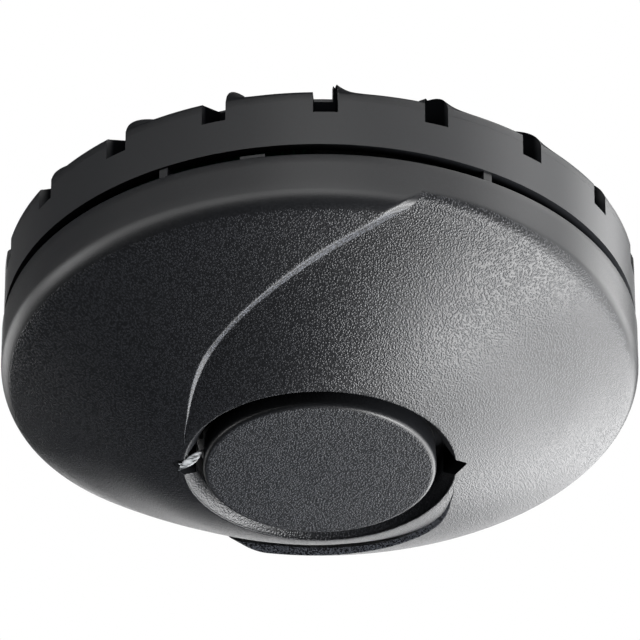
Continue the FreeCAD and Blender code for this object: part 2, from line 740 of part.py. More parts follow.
def make_chamber():
    base_bottom = board_bottom - chamber_base_height
    base = tube(chamber_radius, 0, base_bottom, board_bottom, chamber_spot)
    cover_bottom = board_bottom - chamber_height
    cup = tube(chamber_radius, 0, cover_bottom, cover_bottom + 1.5, chamber_spot)
    rim = tube(chamber_radius, chamber_radius - 1.0, cover_bottom, cover_bottom + 2.6, chamber_spot)
    parts = [rim]
    for azimuth in every(vane_count):
        vane = block(Vector(-vane_thickness / 2, vane_inner, cover_bottom + 1),
                     Vector(vane_thickness / 2, vane_outer, base_bottom))
        hub = Vector(0, (vane_inner + vane_outer) / 2, 0)
        vane.rotate(hub, Vector(0, 0, 1), vane_lean)
        vane.rotate(Vector(0, 0, 0), Vector(0, 0, 1), azimuth)
        vane.translate(chamber_spot)
        parts.append(vane)
    cover = cup.fuse(parts).removeSplitter()
    screen = tube(screen_radius, screen_radius - screen_thickness, cover_bottom + 1.5, base_bottom, chamber_spot)
    eyes = []
    eye_level = base_bottom - eye_radius - 0.6
    for azimuth in (25.0, 160.0):
        out = polar(1, azimuth)
        start = chamber_spot + out * (vane_inner - 1.6) + Vector(0, 0, eye_level)
        barrel = Part.makeCylinder(eye_radius, eye_length - eye_radius, start, out * -1)
        ball = Part.makeSphere(eye_radius, start - out * (eye_length - eye_radius))
        eyes.append(barrel.fuse(ball).removeSplitter())
        holder = block(Vector(-eye_radius - 0.8, -eye_radius - 0.8, eye_level - eye_radius * 0.4),
                       Vector(eye_radius + 0.8, -0.6, base_bottom + 0.5))
        holder.rotate(Vector(0, 0, 0), Vector(0, 0, 1), azimuth)
        holder.translate(chamber_spot + out * (vane_inner - 4.6))
        base = base.fuse(holder)
    base = base.cut([eye for eye in eyes]).removeSplitter()
    return base, cover, screen, eyes[0], eyes[1]


def make_sounder():
    top = floor_top + sounder_height
    ledge = floor_top + sounder_height * 0.5
    housing = turned([(horn_hole_radius, floor_top + sounder_wall), (horn_hole_radius, floor_top),
                      (sounder_radius, floor_top), (sounder_radius, top), (piezo_radius + 0.3, top),
                      (piezo_radius + 0.3, ledge), (piezo_radius - 1.5, ledge),
                      (piezo_radius - 1.5, floor_top + sounder_wall)])
    piezo = tube(piezo_radius, 0, ledge, ledge + piezo_thickness)
    disc_top = ledge + piezo_thickness
    contacts = []
    for x, y in contact_spots:
        spot = Vector(x, y, 0)
        rod = tube(contact_radius, 0, disc_top, board_bottom, spot)
        collar = tube(contact_radius * 2.4, 0, board_bottom - 1.2, board_bottom, spot)
        contacts.append(rod.fuse(collar))
    return housing, piezo, Part.makeCompound(contacts)


def make_light():
    spot = polar(light_circle, light_azimuth)
    dome_level = board_bottom - light_height + light_radius
    body = tube(light_radius, 0, dome_level, board_bottom, spot)
    dome = Part.makeSphere(light_radius, spot + Vector(0, 0, dome_level))
    flange = tube(light_radius + 0.4, 0, board_bottom - 1, board_bottom, spot)
    return body.fuse([dome, flange]).removeSplitter()


def make_pipe():
    # A clear rod from the light down to a wedge that fills the left V-notch.
    spot = polar(light_circle, light_azimuth)
    rod_top = board_bottom - light_height - pipe_gap
    rod = tube(pipe_radius, 0, well_floor - 0.5, rod_top, spot)
    flange = tube(pipe_radius + 0.9, 0, floor_top, floor_top + 1.2, spot)
    apex = rim_radius + notch_depth - 0.5
    inner = button_radius + 1.0
    half = notch_half_width - 0.3
    points = [Vector(-inner, -half, rim_level), Vector(-rim_radius + 1.4, -half, rim_level),
              Vector(-apex, 0, rim_level), Vector(-rim_radius + 1.4, half, rim_level),
              Vector(-inner, half, rim_level)]
    head = Part.Face(polygon_wire(points)).extrude(Vector(0, 0, well_floor - rim_level))
    slant = polygon_wire([Vector(-apex - 1, -9, rim_level - 0.6), Vector(-inner + 1, -9, rim_level - 0.6),
                          Vector(-inner + 1, -9, well_floor - 1.2), Vector(-inner, -9, well_floor - 1.6)])
    head = head.cut(Part.Face(slant).extrude(Vector(0, 18, 0)))
    return rod.fuse([flange, head]).removeSplitter()


def make_parts_on_board():
    chip = block(Vector(-20.0, -22.0, board_bottom - 1.8), Vector(-14.0, -12.0, board_bottom))
    pins = []
    for row in range(7):
        y = -21.2 + 1.27 * row
        for side in (-1, 1):
            x = -17.0 + side * 3.6
            pins.append(block(Vector(x - 0.7, y - 0.2, board_bottom - 0.25), Vector(x + 0.7, y + 0.2, board_bottom)))
    chip = chip.fuse(pins)
    cans = []
    for x, y, radius, height in ((-24.0, -32.0, 3.2, 7.5), (-15.0, -33.5, 3.2, 7.5), (-16.0, -42.5, 4.0, 10.0)):
        can = tube(radius, 0, board_bottom - height, board_bottom, Vector(x, y, 0))
        rims = [edge for edge in can.Edges if edge.CenterOfMass.z < board_bottom - height + 0.1]
        cans.append(can.makeChamfer(0.4, rims))
    coil_spot = Vector(-33.0, -14.0, 0)
    coil = tube(4.0, 0, board_bottom - 8.0, board_bottom - 6.8, coil_spot)
    coil = coil.fuse([tube(2.8, 0, board_bottom - 7.5, board_bottom - 1, coil_spot),
                      tube(4.0, 0, board_bottom - 1.2, board_bottom, coil_spot)])
    return chip.removeSplitter(), Part.makeCompound(cans), coil.removeSplitter()


def make_all():
    battery, terminal_y, middle_x, middle_z = make_battery()
    switch_body, switch_plunger = make_switch()
    chamber_base, chamber_cover, insect_screen, infrared_led, photodiode = make_chamber()
    sounder_housing, piezo_disc, sounder_contacts = make_sounder()
    controller_chip, capacitors, inductor = make_parts_on_board()
    return {
        "mounting_bracket": make_bracket(),
        "back_housing": make_back(),
        "front_cover": make_cover(),
        "test_button": make_button(),
        "button_spring": make_spring(),
        "switch_body": switch_body,
        "switch_plunger": switch_plunger,
        "battery": battery,
        "battery_terminals": make_terminals(terminal_y, middle_x, middle_z),
        "battery_door": make_door(),
        "door_hinge_pin": make_hinge_pin(),
        "circuit_board": make_board(),
        "board_screws": make_board_screws(),
        "cover_screws": make_cover_screws(),
        "chamber_base": chamber_base,
        "chamber_cover": chamber_cover,
        "insect_screen": insect_screen,
        "infrared_led": infrared_led,
        "photodiode": photodiode,
        "sounder_housing": sounder_housing,
        "piezo_disc": piezo_disc,
        "sounder_contacts": sounder_contacts,
        "indicator_led": make_light(),
        "light_pipe": make_pipe(),
        "controller_chip": controller_chip,
        "capacitors": capacitors,
        "inductor": inductor,
    }


os.makedirs("parts", exist_ok=True)
for name, shape in make_all().items():
    shape.exportStep("parts/" + name + ".step")
    print(name, len(shape.Solids), "solids,", round(shape.Volume), "mm3, valid:", shape.isValid())
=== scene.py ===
import bpy
import bmesh
import json
import math
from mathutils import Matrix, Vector


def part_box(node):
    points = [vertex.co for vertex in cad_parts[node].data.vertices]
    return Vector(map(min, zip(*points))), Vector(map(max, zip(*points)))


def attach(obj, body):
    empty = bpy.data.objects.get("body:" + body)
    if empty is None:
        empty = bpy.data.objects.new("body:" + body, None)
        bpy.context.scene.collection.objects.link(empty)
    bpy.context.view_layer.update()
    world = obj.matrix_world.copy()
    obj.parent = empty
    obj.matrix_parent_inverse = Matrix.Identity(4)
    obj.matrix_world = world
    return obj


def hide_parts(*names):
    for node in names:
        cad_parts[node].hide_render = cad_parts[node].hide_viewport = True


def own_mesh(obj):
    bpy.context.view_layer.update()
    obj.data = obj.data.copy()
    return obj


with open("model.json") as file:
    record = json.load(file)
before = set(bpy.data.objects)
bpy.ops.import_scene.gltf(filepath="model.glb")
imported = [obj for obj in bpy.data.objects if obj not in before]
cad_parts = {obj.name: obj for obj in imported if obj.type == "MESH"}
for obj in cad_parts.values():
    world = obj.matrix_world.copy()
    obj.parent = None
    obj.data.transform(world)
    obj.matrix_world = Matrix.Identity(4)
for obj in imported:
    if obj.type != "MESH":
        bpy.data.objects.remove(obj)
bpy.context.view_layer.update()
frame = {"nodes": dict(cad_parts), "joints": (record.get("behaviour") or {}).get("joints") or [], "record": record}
nodes = frame["nodes"]
mm = 0.001
mergeGap = 0.000002  # metres

# Levels read from the frame, in metres
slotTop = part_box("front_cover")[1].z  # the ribs reach the slot's upper edge
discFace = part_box("test_button")[0].z


class Wire:
    # A socket that takes part in Python maths
    def __init__(self, shader, socket):
        self.shader = shader
        self.socket = socket

    def maths(self, operation, first, second):
        return self.shader.node("ShaderNodeMath", {"operation": operation}, {0: first, 1: second})

    def __add__(self, other):
        return self.maths("ADD", self, other)

    def __radd__(self, other):
        return self.maths("ADD", other, self)

    def __sub__(self, other):
        return self.maths("SUBTRACT", self, other)

    def __rsub__(self, other):
        return self.maths("SUBTRACT", other, self)

    def __mul__(self, other):
        return self.maths("MULTIPLY", self, other)

    def __rmul__(self, other):
        return self.maths("MULTIPLY", other, self)

    def __gt__(self, other):
        return self.maths("GREATER_THAN", self, other)


class Shader:
    # One node tree, cleared, and the nodes that are added to it
    def __init__(self, tree):
        self.tree = tree
        self.tree.nodes.clear()

    def node(self, kind, settings=None, values=None, out=0):
        made = self.tree.nodes.new(kind)
        for key, value in (settings or {}).items():
            setattr(made, key, value)
        for key, value in (values or {}).items():
            if isinstance(value, Wire):
                self.tree.links.new(value.socket, made.inputs[key])
            else:
                made.inputs[key].default_value = value
        return Wire(self, made.outputs[out]) if len(made.outputs) else None

    def smooth(self, value, low, high):
        return self.node("ShaderNodeMapRange", {"interpolation_type": "SMOOTHSTEP"},
                         {"Value": value, "From Min": low, "From Max": high})

    def tint(self, share, first, second):
        return self.node("ShaderNodeMix", {"data_type": "RGBA"}, {0: share, 6: first, 7: second}, 2)


def shaded(color, share):
    # A colour made darker or lighter, with its alpha
    return (*[min(1, c * share) for c in color], 1)


def newMaterial(name):
    material = bpy.data.materials.new(name)
    material.use_nodes = True
    return material, Shader(material.node_tree)


def setMaterial(piece, material):
    piece.data.materials.clear()
    piece.data.materials.append(material)


def paint(slotName, material):
    # Every CAD node of one slot takes the material
    for part in frame["record"]["subparts"]:
        if part["material_slot"] == slotName:
            setMaterial(nodes[part["node"]], material)


def deselectAll():
    # Object mode, with nothing selected
    if bpy.context.object and bpy.context.object.mode != "OBJECT":
        bpy.ops.object.mode_set(mode="OBJECT")
    bpy.ops.object.select_all(action="DESELECT")


# Camera, aimed a little above the middle of the smoke slot's upper edge; metres and degrees
view = {"distance": 1.5, "below": 34.37, "lens": 380.7, "film": 36, "farEnd": 50, "aimUp": 0.00197,
        "aimAside": 0.00005}


def placeCamera():
    camera = bpy.data.objects.new("camera", bpy.data.cameras.new("camera"))
    bpy.context.scene.collection.objects.link(camera)
    angle = math.radians(view["below"])
    target = Vector((view["aimAside"], -view["aimUp"] * math.sin(angle),
                     slotTop + view["aimUp"] * math.cos(angle)))
    camera.location = target + view["distance"] * Vector((0, -math.cos(angle), -math.sin(angle)))
    camera.rotation_euler = (target - camera.location).to_track_quat("-Z", "Y").to_euler()
    camera.data.lens = view["lens"]
    camera.data.sensor_width = view["film"]
    camera.data.clip_end = view["farEnd"]
    bpy.context.scene.camera = camera


studio = {"floorDrop": 2.6, "floorSize": 14.0, "floorRough": 0.8, "aimLevel": -0.04,
          "floorColor": (0.8, 0.8, 0.8, 1), "floorShade": (0.02, 0.02, 0.02, 1),
          "floorGlow": (0.6, 0.6, 0.6, 1)}
# Square soft boxes all round: azimuth and height over the horizon in degrees, and power in watts
lamps = {
    "underBox": (90, -50, 41), "keyBox": (120, -25, 12.5), "backEdgeBox": (150, 0, 11),
    "backLowBox": (150, -25, 10), "sideLowBox": (90, -25, 10), "backRightBox": (120, 25, 9.5),
    "sideBox": (90, 0, 7.5), "lowBackBox": (135, -50, 6), "sideHighBox": (90, 50, 6),
    "backSideBox": (120, 0, 4), "backBox": (180, 25, 4.2), "rightBox": (70, 25, 5.5),
    "frontRightBox": (45, 50, 2.9), "nearBox": (30, 18, 4.2), "frontBox": (0, 20, 7.2),
    "frontLeftBox": (330, 15, 5), "nearLeftBox": (300, 12, 4.7), "leftBox": (270, 5, 7.2),
    "backLeftBox": (228, 12, 5.4),
}
softBox = {"size": 0.8, "distance": 1.6}
surround = {"glossy": 0.02, "diffuse": 0.02}


def buildStudio():
    # Floor, soft boxes and a world that looks white
    deselectAll()
    bpy.ops.mesh.primitive_plane_add(size=studio["floorSize"], location=(0, 0, -studio["floorDrop"]))
    floor = bpy.context.object
    floor.name = "floor"
    material, shader = newMaterial("floorPaint")
    seen = shader.node("ShaderNodeLightPath", None, None, "Is Camera Ray")
    # Pale to the camera, with no light back on the object
    color = shader.tint(seen, studio["floorShade"], studio["floorColor"])
    glow = shader.tint(seen, (0, 0, 0, 1), studio["floorGlow"])
    bsdf = shader.node("ShaderNodeBsdfPrincipled", None,
                       {"Base Color": color, "Roughness": studio["floorRough"], "Emission Color": glow,
                        "Emission Strength": 1.0})
    shader.node("ShaderNodeOutputMaterial", None, {"Surface": bsdf})
    floor.data.materials.append(material)
    middle = Vector((0, 0, studio["aimLevel"]))
    for name, (azimuth, height, power) in lamps.items():
        data = bpy.data.lights.new(name, "AREA")
        data.size = softBox["size"]
        data.energy = power
        item = bpy.data.objects.new(name, data)
        bpy.context.scene.collection.objects.link(item)
        turn, rise = math.radians(azimuth), math.radians(height)
        way = Vector((math.sin(turn) * math.cos(rise), -math.cos(turn) * math.cos(rise), math.sin(rise)))
        item.location = middle + way * softBox["distance"]
        item.rotation_euler = (-way).to_track_quat("-Z", "Y").to_euler()
        item.visible_camera = False
    world = bpy.data.worlds.new("studioWorld")
    bpy.context.scene.world = world
    world.use_nodes = True
    shader = Shader(world.node_tree)
    camera = shader.node("ShaderNodeLightPath", None, None, "Is Camera Ray")
    glossy = shader.node("ShaderNodeLightPath", None, None, "Is Glossy Ray")
    through = shader.node("ShaderNodeLightPath", None, None, "Is Transmission Ray")
    other = (1 - camera) * (1 - glossy) * (1 - through)
    strength = camera + through + (1 - camera) * glossy * surround["glossy"] + other * surround["diffuse"]
    back = shader.node("ShaderNodeBackground", None, {"Color": (1, 1, 1, 1), "Strength": strength})
    shader.node("ShaderNodeOutputWorld", None, {"Surface": back})
    bpy.context.scene.view_settings.view_transform = "Standard"


# The case's black plastic: each finish has a roughness, a depth of grain and a tint on its pebbles
finish = {
    "caseColor": (0.0095, 0.0102, 0.012), "darkShare": 0.8, "grainScale": 2200.0, "grainDepth": 0.000055,
    "pebbleFoot": 0.7, "pebbleTop": 0.1, "pebbleRough": 0.06, "cloudScale": 38.0, "cloudRough": 0.08,
    "gloss": 1.5, "satinRough": 0.36, "satinGrain": 0.04, "satinTint": 1.2, "sparkRough": 0.36,
    "sparkGrain": 1.0, "sparkTint": 2.4, "discGrain": 1.1, "discTint": 3.4, "edgeRough": 0.27,
    # The edge's tint is a painted highlight on the bevel
    "edgeHighlightTint": 10.0,
}
# The ring's own finish; its deep faces, which take a painted shade, lie between these radii, in metres
ringFinish = {
    "scale": 1800.0, "tint": 1.4, "grain": 0.05, "grainRough": 0.06, "paintedShadeShare": 0.4,
    "deepStart": 0.0696, "deepEnd": 0.0675, "backStart": 0.0588, "backEnd": 0.0592,
}
# Every other slot: material, colour, roughness, metallic, size of its fine pattern and how deep it bumps
finishes = {
    "bracket_black": ("bracketPlastic", (0.02, 0.021, 0.023), 0.45, 0.0, 900, 0.15),
    "white_plastic": ("whitePlastic", (0.72, 0.71, 0.67), 0.4, 0.0, 700, 0.06),
    "dark_plastic": ("darkPlastic", (0.028, 0.028, 0.03), 0.42, 0.0, 1400, 0.1),
    "steel": ("plainSteel", (0.56, 0.57, 0.58), 0.28, 1.0, 1100, 0.08),
    "spring_steel": ("springSteel", (0.48, 0.49, 0.5), 0.32, 1.0, 1500, 0.08),
    "brass": ("terminalBrass", (0.72, 0.5, 0.2), 0.3, 1.0, 900, 0.06),
    "capacitor_sleeve": ("sleevePlastic", (0.02, 0.028, 0.05), 0.3, 0.0, 600, 0.03),
    "dark_lens": ("darkLens", (0.012, 0.01, 0.016), 0.12, 0.0, 200, 0.01),
    "red_lens": ("redLens", (0.42, 0.02, 0.015), 0.15, 0.0, 200, 0.01),
}
fine = {"low": 0.85, "high": 1.15, "depth": 0.00015, "rough": 0.1}
board = {"mask": (0.006, 0.09, 0.035, 1), "trace": (0.012, 0.17, 0.065, 1), "pitch": 420.0, "wander": 0.35,
         "traceEdge": 0.1, "rough": 0.3}
# Light and dark colours of the lens's painted reflection streaks
acrylic = {"dark": (0.03, 0.033, 0.036, 1), "light": (0.5, 0.52, 0.54, 1), "slant": 44, "stretch": 0.25,
           "streaks": 1100.0, "darkEnd": 0.4, "lightStart": 0.6, "rough": 0.1, "clear": 0.3, "gloss": 1.49}
wrapper = {"low": (0.03, 0.03, 0.033, 1), "high": (0.42, 0.3, 0.12, 1), "from": -0.0087, "to": -0.0083,
           "rough": 0.3, "roughScale": 300.0, "roughShare": 0.1}


def caseMaterial(name, rough, grain, tint):
    # Moulded black plastic with a fine grain of pebbles, and slow clouds in its shine
    material, shader = newMaterial(name)
    place = shader.node("ShaderNodeTexCoord", None, None, "Object")
    pebble = shader.node("ShaderNodeTexVoronoi", {"feature": "F1"},
                         {"Vector": place, "Scale": finish["grainScale"], "Randomness": 1.0}, "Distance")
    cloud = shader.node("ShaderNodeTexNoise", None,
                        {"Vector": place, "Scale": finish["cloudScale"], "Detail": 3.0}, "Fac")
    shade = shader.smooth(pebble, finish["pebbleFoot"], finish["pebbleTop"])
    color = shader.tint(shade, shaded(finish["caseColor"], finish["darkShare"]),
                        shaded(finish["caseColor"], tint))
    bump = shader.node("ShaderNodeBump", None,
                       {"Strength": grain, "Distance": finish["grainDepth"], "Height": shade})
    roughness = rough + finish["cloudRough"] * (cloud - 0.5) + finish["pebbleRough"] * shade
    bsdf = shader.node("ShaderNodeBsdfPrincipled", None,
                       {"Base Color": color, "Roughness": roughness, "Normal": bump, "IOR": finish["gloss"]})
    shader.node("ShaderNodeOutputMaterial", None, {"Surface": bsdf})
    return material


def ringMaterial():
    # The ring's plastic; its deep faces take a painted shade: a darker diffuse colour with no shine
    material, shader = newMaterial("ringPlastic")
    place = shader.node("ShaderNodeTexCoord", None, None, "Object")
    flat = shader.node("ShaderNodeVectorMath", {"operation": "MULTIPLY"}, {0: place, 1: (1, 1, 0)})
    reach = shader.node("ShaderNodeVectorMath", {"operation": "LENGTH"}, {0: flat}, "Value")
    grain = shader.node("ShaderNodeTexNoise", None,
                        {"Vector": place, "Scale": ringFinish["scale"], "Detail": 2.0}, "Fac")
    color = shader.tint(grain, shaded(finish["caseColor"], finish["darkShare"]),
                        shaded(finish["caseColor"], ringFinish["tint"]))
    bump = shader.node("ShaderNodeBump", None,
                       {"Strength": ringFinish["grain"], "Distance": finish["grainDepth"], "Height": grain})
    roughness = finish["satinRough"] + ringFinish["grainRough"] * grain
    shiny = shader.node("ShaderNodeBsdfPrincipled", None,
                        {"Base Color": color, "Roughness": roughness, "Normal": bump})
    recessShade = shader.node("ShaderNodeBsdfDiffuse", None,
                       {"Color": shaded(finish["caseColor"], ringFinish["paintedShadeShare"])})
    # Painted shade: faces between these radii turn to the dark diffuse
    deep = (shader.smooth(reach, ringFinish["deepStart"], ringFinish["deepEnd"])
            * shader.smooth(reach, ringFinish["backStart"], ringFinish["backEnd"]))
    mixed = shader.node("ShaderNodeMixShader", None, {0: deep, 1: shiny, 2: recessShade})
    shader.node("ShaderNodeOutputMaterial", None, {"Surface": mixed})
    return material


def fineMaterial(name, color, rough, metal, scale, bump):
    # A plain finish with a fine pattern in its colour, shine and surface
    material, shader = newMaterial(name)
    place = shader.node("ShaderNodeTexCoord", None, None, "Object")
    noise = shader.node("ShaderNodeTexNoise", None, {"Vector": place, "Scale": scale, "Detail": 2.0}, "Fac")
    tinted = shader.tint(noise, shaded(color, fine["low"]), shaded(color, fine["high"]))
    grain = shader.node("ShaderNodeBump", None,
                        {"Strength": bump, "Distance": fine["depth"], "Height": noise})
    bsdf = shader.node("ShaderNodeBsdfPrincipled", None,
                       {"Base Color": tinted, "Roughness": rough + fine["rough"] * (noise - 0.5),
                        "Metallic": metal, "Normal": grain})
    shader.node("ShaderNodeOutputMaterial", None, {"Surface": bsdf})
    return material


def boardMaterial():
    # Green solder mask with paler copper runs under it
    material, shader = newMaterial("solderMask")
    place = shader.node("ShaderNodeTexCoord", None, None, "Object")
    run = shader.node("ShaderNodeTexVoronoi", {"feature": "DISTANCE_TO_EDGE"},
                      {"Vector": place, "Scale": board["pitch"], "Randomness": board["wander"]}, "Distance")
    color = shader.tint(run > board["traceEdge"], board["trace"], board["mask"])
    bsdf = shader.node("ShaderNodeBsdfPrincipled", None, {"Base Color": color, "Roughness": board["rough"]})
    shader.node("ShaderNodeOutputMaterial", None, {"Surface": bsdf})
    return material


def clearMaterial():
    # Clear plastic with slanting streaks of painted reflection, light and dark
    material, shader = newMaterial("clearAcrylic")
    place = shader.node("ShaderNodeTexCoord", None, None, "Object")
    slanted = shader.node("ShaderNodeMapping", None,
                          {"Vector": place, "Rotation": (0, 0, math.radians(acrylic["slant"])),
                           "Scale": (acrylic["stretch"], 1, 1)})
    paintedStreak = shader.node("ShaderNodeTexNoise", None,
                         {"Vector": slanted, "Scale": acrylic["streaks"], "Detail": 3.0}, "Fac")
    color = shader.tint(shader.smooth(paintedStreak, acrylic["darkEnd"], acrylic["lightStart"]), acrylic["dark"],
                        acrylic["light"])
    bsdf = shader.node("ShaderNodeBsdfPrincipled", None,
                       {"Base Color": color, "Roughness": acrylic["rough"] + acrylic["rough"] * paintedStreak,
                        "Transmission Weight": acrylic["clear"], "IOR": acrylic["gloss"]})
    shader.node("ShaderNodeOutputMaterial", None, {"Surface": bsdf})
    return material


def wrapperMaterial():
    # The battery's plain wrapper: dark, with a gold band at one end
    material, shader = newMaterial("batterySkin")
    place = shader.node("ShaderNodeTexCoord", None, None, "Object")
    along = shader.node("ShaderNodeSeparateXYZ", None, {0: place}, 1)
    color = shader.tint(shader.smooth(along, wrapper["from"], wrapper["to"]), wrapper["low"], wrapper["high"])
    noise = shader.node("ShaderNodeTexNoise", None,
                        {"Vector": place, "Scale": wrapper["roughScale"], "Detail": 2.0}, "Fac")
    roughness = wrapper["rough"] + wrapper["roughShare"] * (noise - 0.5)
    bsdf = shader.node("ShaderNodeBsdfPrincipled", None, {"Base Color": color, "Roughness": roughness})
    shader.node("ShaderNodeOutputMaterial", None, {"Surface": bsdf})
    return material


def makeActive(piece):
    deselectAll()
    piece.select_set(True)
    bpy.context.view_layer.objects.active = piece


def closeUp(piece):
    # Seams and poles merged, all faces outwards
    makeActive(piece)
    bpy.ops.object.mode_set(mode="EDIT")
    bpy.ops.mesh.select_all(action="SELECT")
    bpy.ops.mesh.remove_doubles(threshold=mergeGap)
    bpy.ops.mesh.delete_loose()
    bpy.ops.mesh.normals_make_consistent(inside=False)
    bpy.ops.object.mode_set(mode="OBJECT")
    shape = bmesh.new()
    shape.from_mesh(piece.data)
    if shape.calc_volume(signed=True) < 0:
        bmesh.ops.reverse_faces(shape, faces=shape.faces)
        shape.to_mesh(piece.data)
    shape.free()


def around(radius, azimuth, level):
    # A point in metres, from millimetres and degrees
    angle = math.radians(azimuth)
    return Vector((radius * math.sin(angle), -radius * math.cos(angle), level)) * mm


def shapedGrid(name, columns, rows, place):
    # A flat grid whose vertices are carried to place(column, row)
    deselectAll()
    bpy.ops.mesh.primitive_grid_add(size=2, x_subdivisions=columns, y_subdivisions=rows, location=(0, 0, 0))
    piece = bpy.context.object
    piece.name = name
    for vertex in piece.data.vertices:
        column = round((vertex.co.x + 1) / 2 * columns)
        row = round((vertex.co.y + 1) / 2 * rows)
        vertex.co = place(column, row)
    return piece


def arcBlock(name, inner, outer, low, high, middle, span, steps=4):
    # A block between two radii: a grid is extruded up and bent round the axis
    deselectAll()
    bpy.ops.mesh.primitive_grid_add(size=1, x_subdivisions=1, y_subdivisions=steps, location=(0, 0, 0))
    piece = bpy.context.object
    piece.name = name
    bpy.ops.object.mode_set(mode="EDIT")
    bpy.ops.mesh.select_all(action="SELECT")
    bpy.ops.mesh.extrude_region_move(TRANSFORM_OT_translate={"value": (0, 0, 1)})
    bpy.ops.object.mode_set(mode="OBJECT")
    for vertex in piece.data.vertices:
        share = vertex.co.x + 0.5
        turn = middle + span * vertex.co.y
        vertex.co = around(inner + (outer - inner) * share, turn, low + (high - low) * vertex.co.z)
    closeUp(piece)
    return piece


def joined(pieces, name):
    # Several pieces as one object
    makeActive(pieces[0])
    for piece in pieces:
        piece.select_set(True)
    bpy.ops.object.join()
    bpy.context.object.name = name
    return bpy.context.object


def carve(piece, cutters):
    # All cutters come out of the piece at once
    cutter = joined(cutters, "cutter")
    makeActive(piece)
    modifier = piece.modifiers.new("carve", "BOOLEAN")
    modifier.object = cutter
    modifier.operation = "DIFFERENCE"
    modifier.solver = "EXACT"
    bpy.ops.object.modifier_apply(modifier="carve")
    bpy.data.objects.remove(cutter, do_unlink=True)


def bend(share, first, corner, last):
    # A quadratic curve that rounds a corner
    return tuple((1 - share) ** 2 * a + 2 * share * (1 - share) * b + share ** 2 * c
                 for a, b, c in zip(first, corner, last))


def rounded(corners, steps=5):
    # A closed outline whose corners (across, level, radius) are rounded
    points = []
    for i, (across, level, radius) in enumerate(corners):
        corner = Vector((across, level))
        if radius == 0:
            points.append((across, level))
            continue
        before = (Vector(corners[i - 1][:2]) - corner).normalized()
        after = (Vector(corners[(i + 1) % len(corners)][:2]) - corner).normalized()
        reach = radius / math.tan(before.angle(after) / 2)
        first, last = corner + before * reach, corner + after * reach
        points += [bend(step / steps, first, corner, last) for step in range(steps + 1)]
    return points


def turnedPiece(name, outline, steps=128, spot=(0, 0)):
    # A ring of vertices is laid along the outline and spun round the axis
    deselectAll()
    bpy.ops.mesh.primitive_circle_add(vertices=len(outline), radius=1, fill_type="NOTHING",
                                      location=(0, 0, 0))
    piece = bpy.context.object
    piece.name = name
    for vertex, (radius, level) in zip(piece.data.vertices, outline):
        vertex.co = Vector((radius, 0, level)) * mm
    bpy.ops.object.mode_set(mode="EDIT")
    bpy.ops.mesh.select_all(action="SELECT")
    bpy.ops.mesh.spin(steps=steps, angle=2 * math.pi, center=(0, 0, 0), axis=(0, 0, 1))
    bpy.ops.object.mode_set(mode="OBJECT")
    closeUp(piece)
    for vertex in piece.data.vertices:
        vertex.co += Vector((spot[0], spot[1], 0)) * mm
    return piece


def dressed(nodeName, name, bevelWidth, degrees=30):
    # A merged copy of a CAD node with softened edges
    source = nodes[nodeName]
    mesh = source.data.copy()
    piece = bpy.data.objects.new(name, mesh)
    bpy.context.scene.collection.objects.link(piece)
    makeActive(piece)
    bpy.ops.object.mode_set(mode="EDIT")
    bpy.ops.mesh.select_all(action="SELECT")
    bpy.ops.mesh.remove_doubles(threshold=mergeGap)
    bpy.ops.object.mode_set(mode="OBJECT")
    if bevelWidth > 0:
        modifier = piece.modifiers.new("soften", "BEVEL")
        modifier.width = bevelWidth * mm
        modifier.segments = 2
        modifier.limit_method = "ANGLE"
        modifier.angle_limit = math.radians(degrees)
        modifier.use_clamp_overlap = True
        bpy.ops.object.modifier_apply(modifier="soften")
    smoothed(piece, degrees)
    return piece


def smoothed(piece, degrees=30):
    makeActive(piece)
    bpy.ops.object.shade_smooth_by_angle(angle=math.radians(degrees))


# The front cover's sizes, in millimetres and degrees; levels are from the ceiling
cover = {
    "bandRadius": 70.3, "shoulderRound": 6.0, "shoulderShare": 0.65, "rimRadius": 29.6, "slopeRadius": 27.3,
    "floorRadius": 27.1, "mouthRadius": 12.0, "wall": 2.2, "riserWall": 2.0, "backGap": 2.2,
    "slotBottom": -26.7, "flankStart": -41.4, "rimLevel": -60.7, "slopeLevel": -57.4, "floorLevel": -53.2,
    "floorTop": -51.2, "flankBulge": 0.9, "rimRound": 0.45, "rimDraft": 0.02, "slopeIn": 0.6,
    "slopeDrop": 2.2, "wellFoot": 0.5, "lipRound": 0.35, "notchDepth": 2.5, "notchHalf": 2.9,
    "notchInset": 2.5, "notchTip": 0.3, "notchOver": 0.01, "notchUnder": 3,
    "stepGain": 0.117, "stepStart": 30.8, "stepSpan": 62.0, "wellSpan": 130.0, "spanStart": 45.0,
    "fadeStart": 67.0, "fadeEnd": 70.3, "bandShare": 0.5, "firstTurn": 2.6, "lastGap": 0.5, "mostTwist": 1.7,
    "outerStart": 44.0, "outerEnd": 66.0, "edgeWidth": 1.7, "outerWidth": 1.5, "edgeShare": 0.9,
    "edgeSlope": 0.8, "edgeBlend": 0.25, "footRound": 0.2, "footShare": 0.1, "leastRound": 0.12,
    "riserSlope": 0.03, "edgeColumns": 8, "footColumns": (0.0, 0.35, 0.7, 1.0), "sideColumns": 88,
    "grainShare": 0.1, "satinRows": 6, "satinStart": 0.11, "satinEnd": 0.42, "smoothTo": 32,
}
# The raised edge of the S-shaped step: radius in millimetres, azimuth in degrees
stepEdge = ((31.2, -70.5), (33.5, -58.1), (39.4, -40.2), (50.7, -12.9), (62.0, 7.6), (69.2, 16.9),
            (70.3, 18.0))


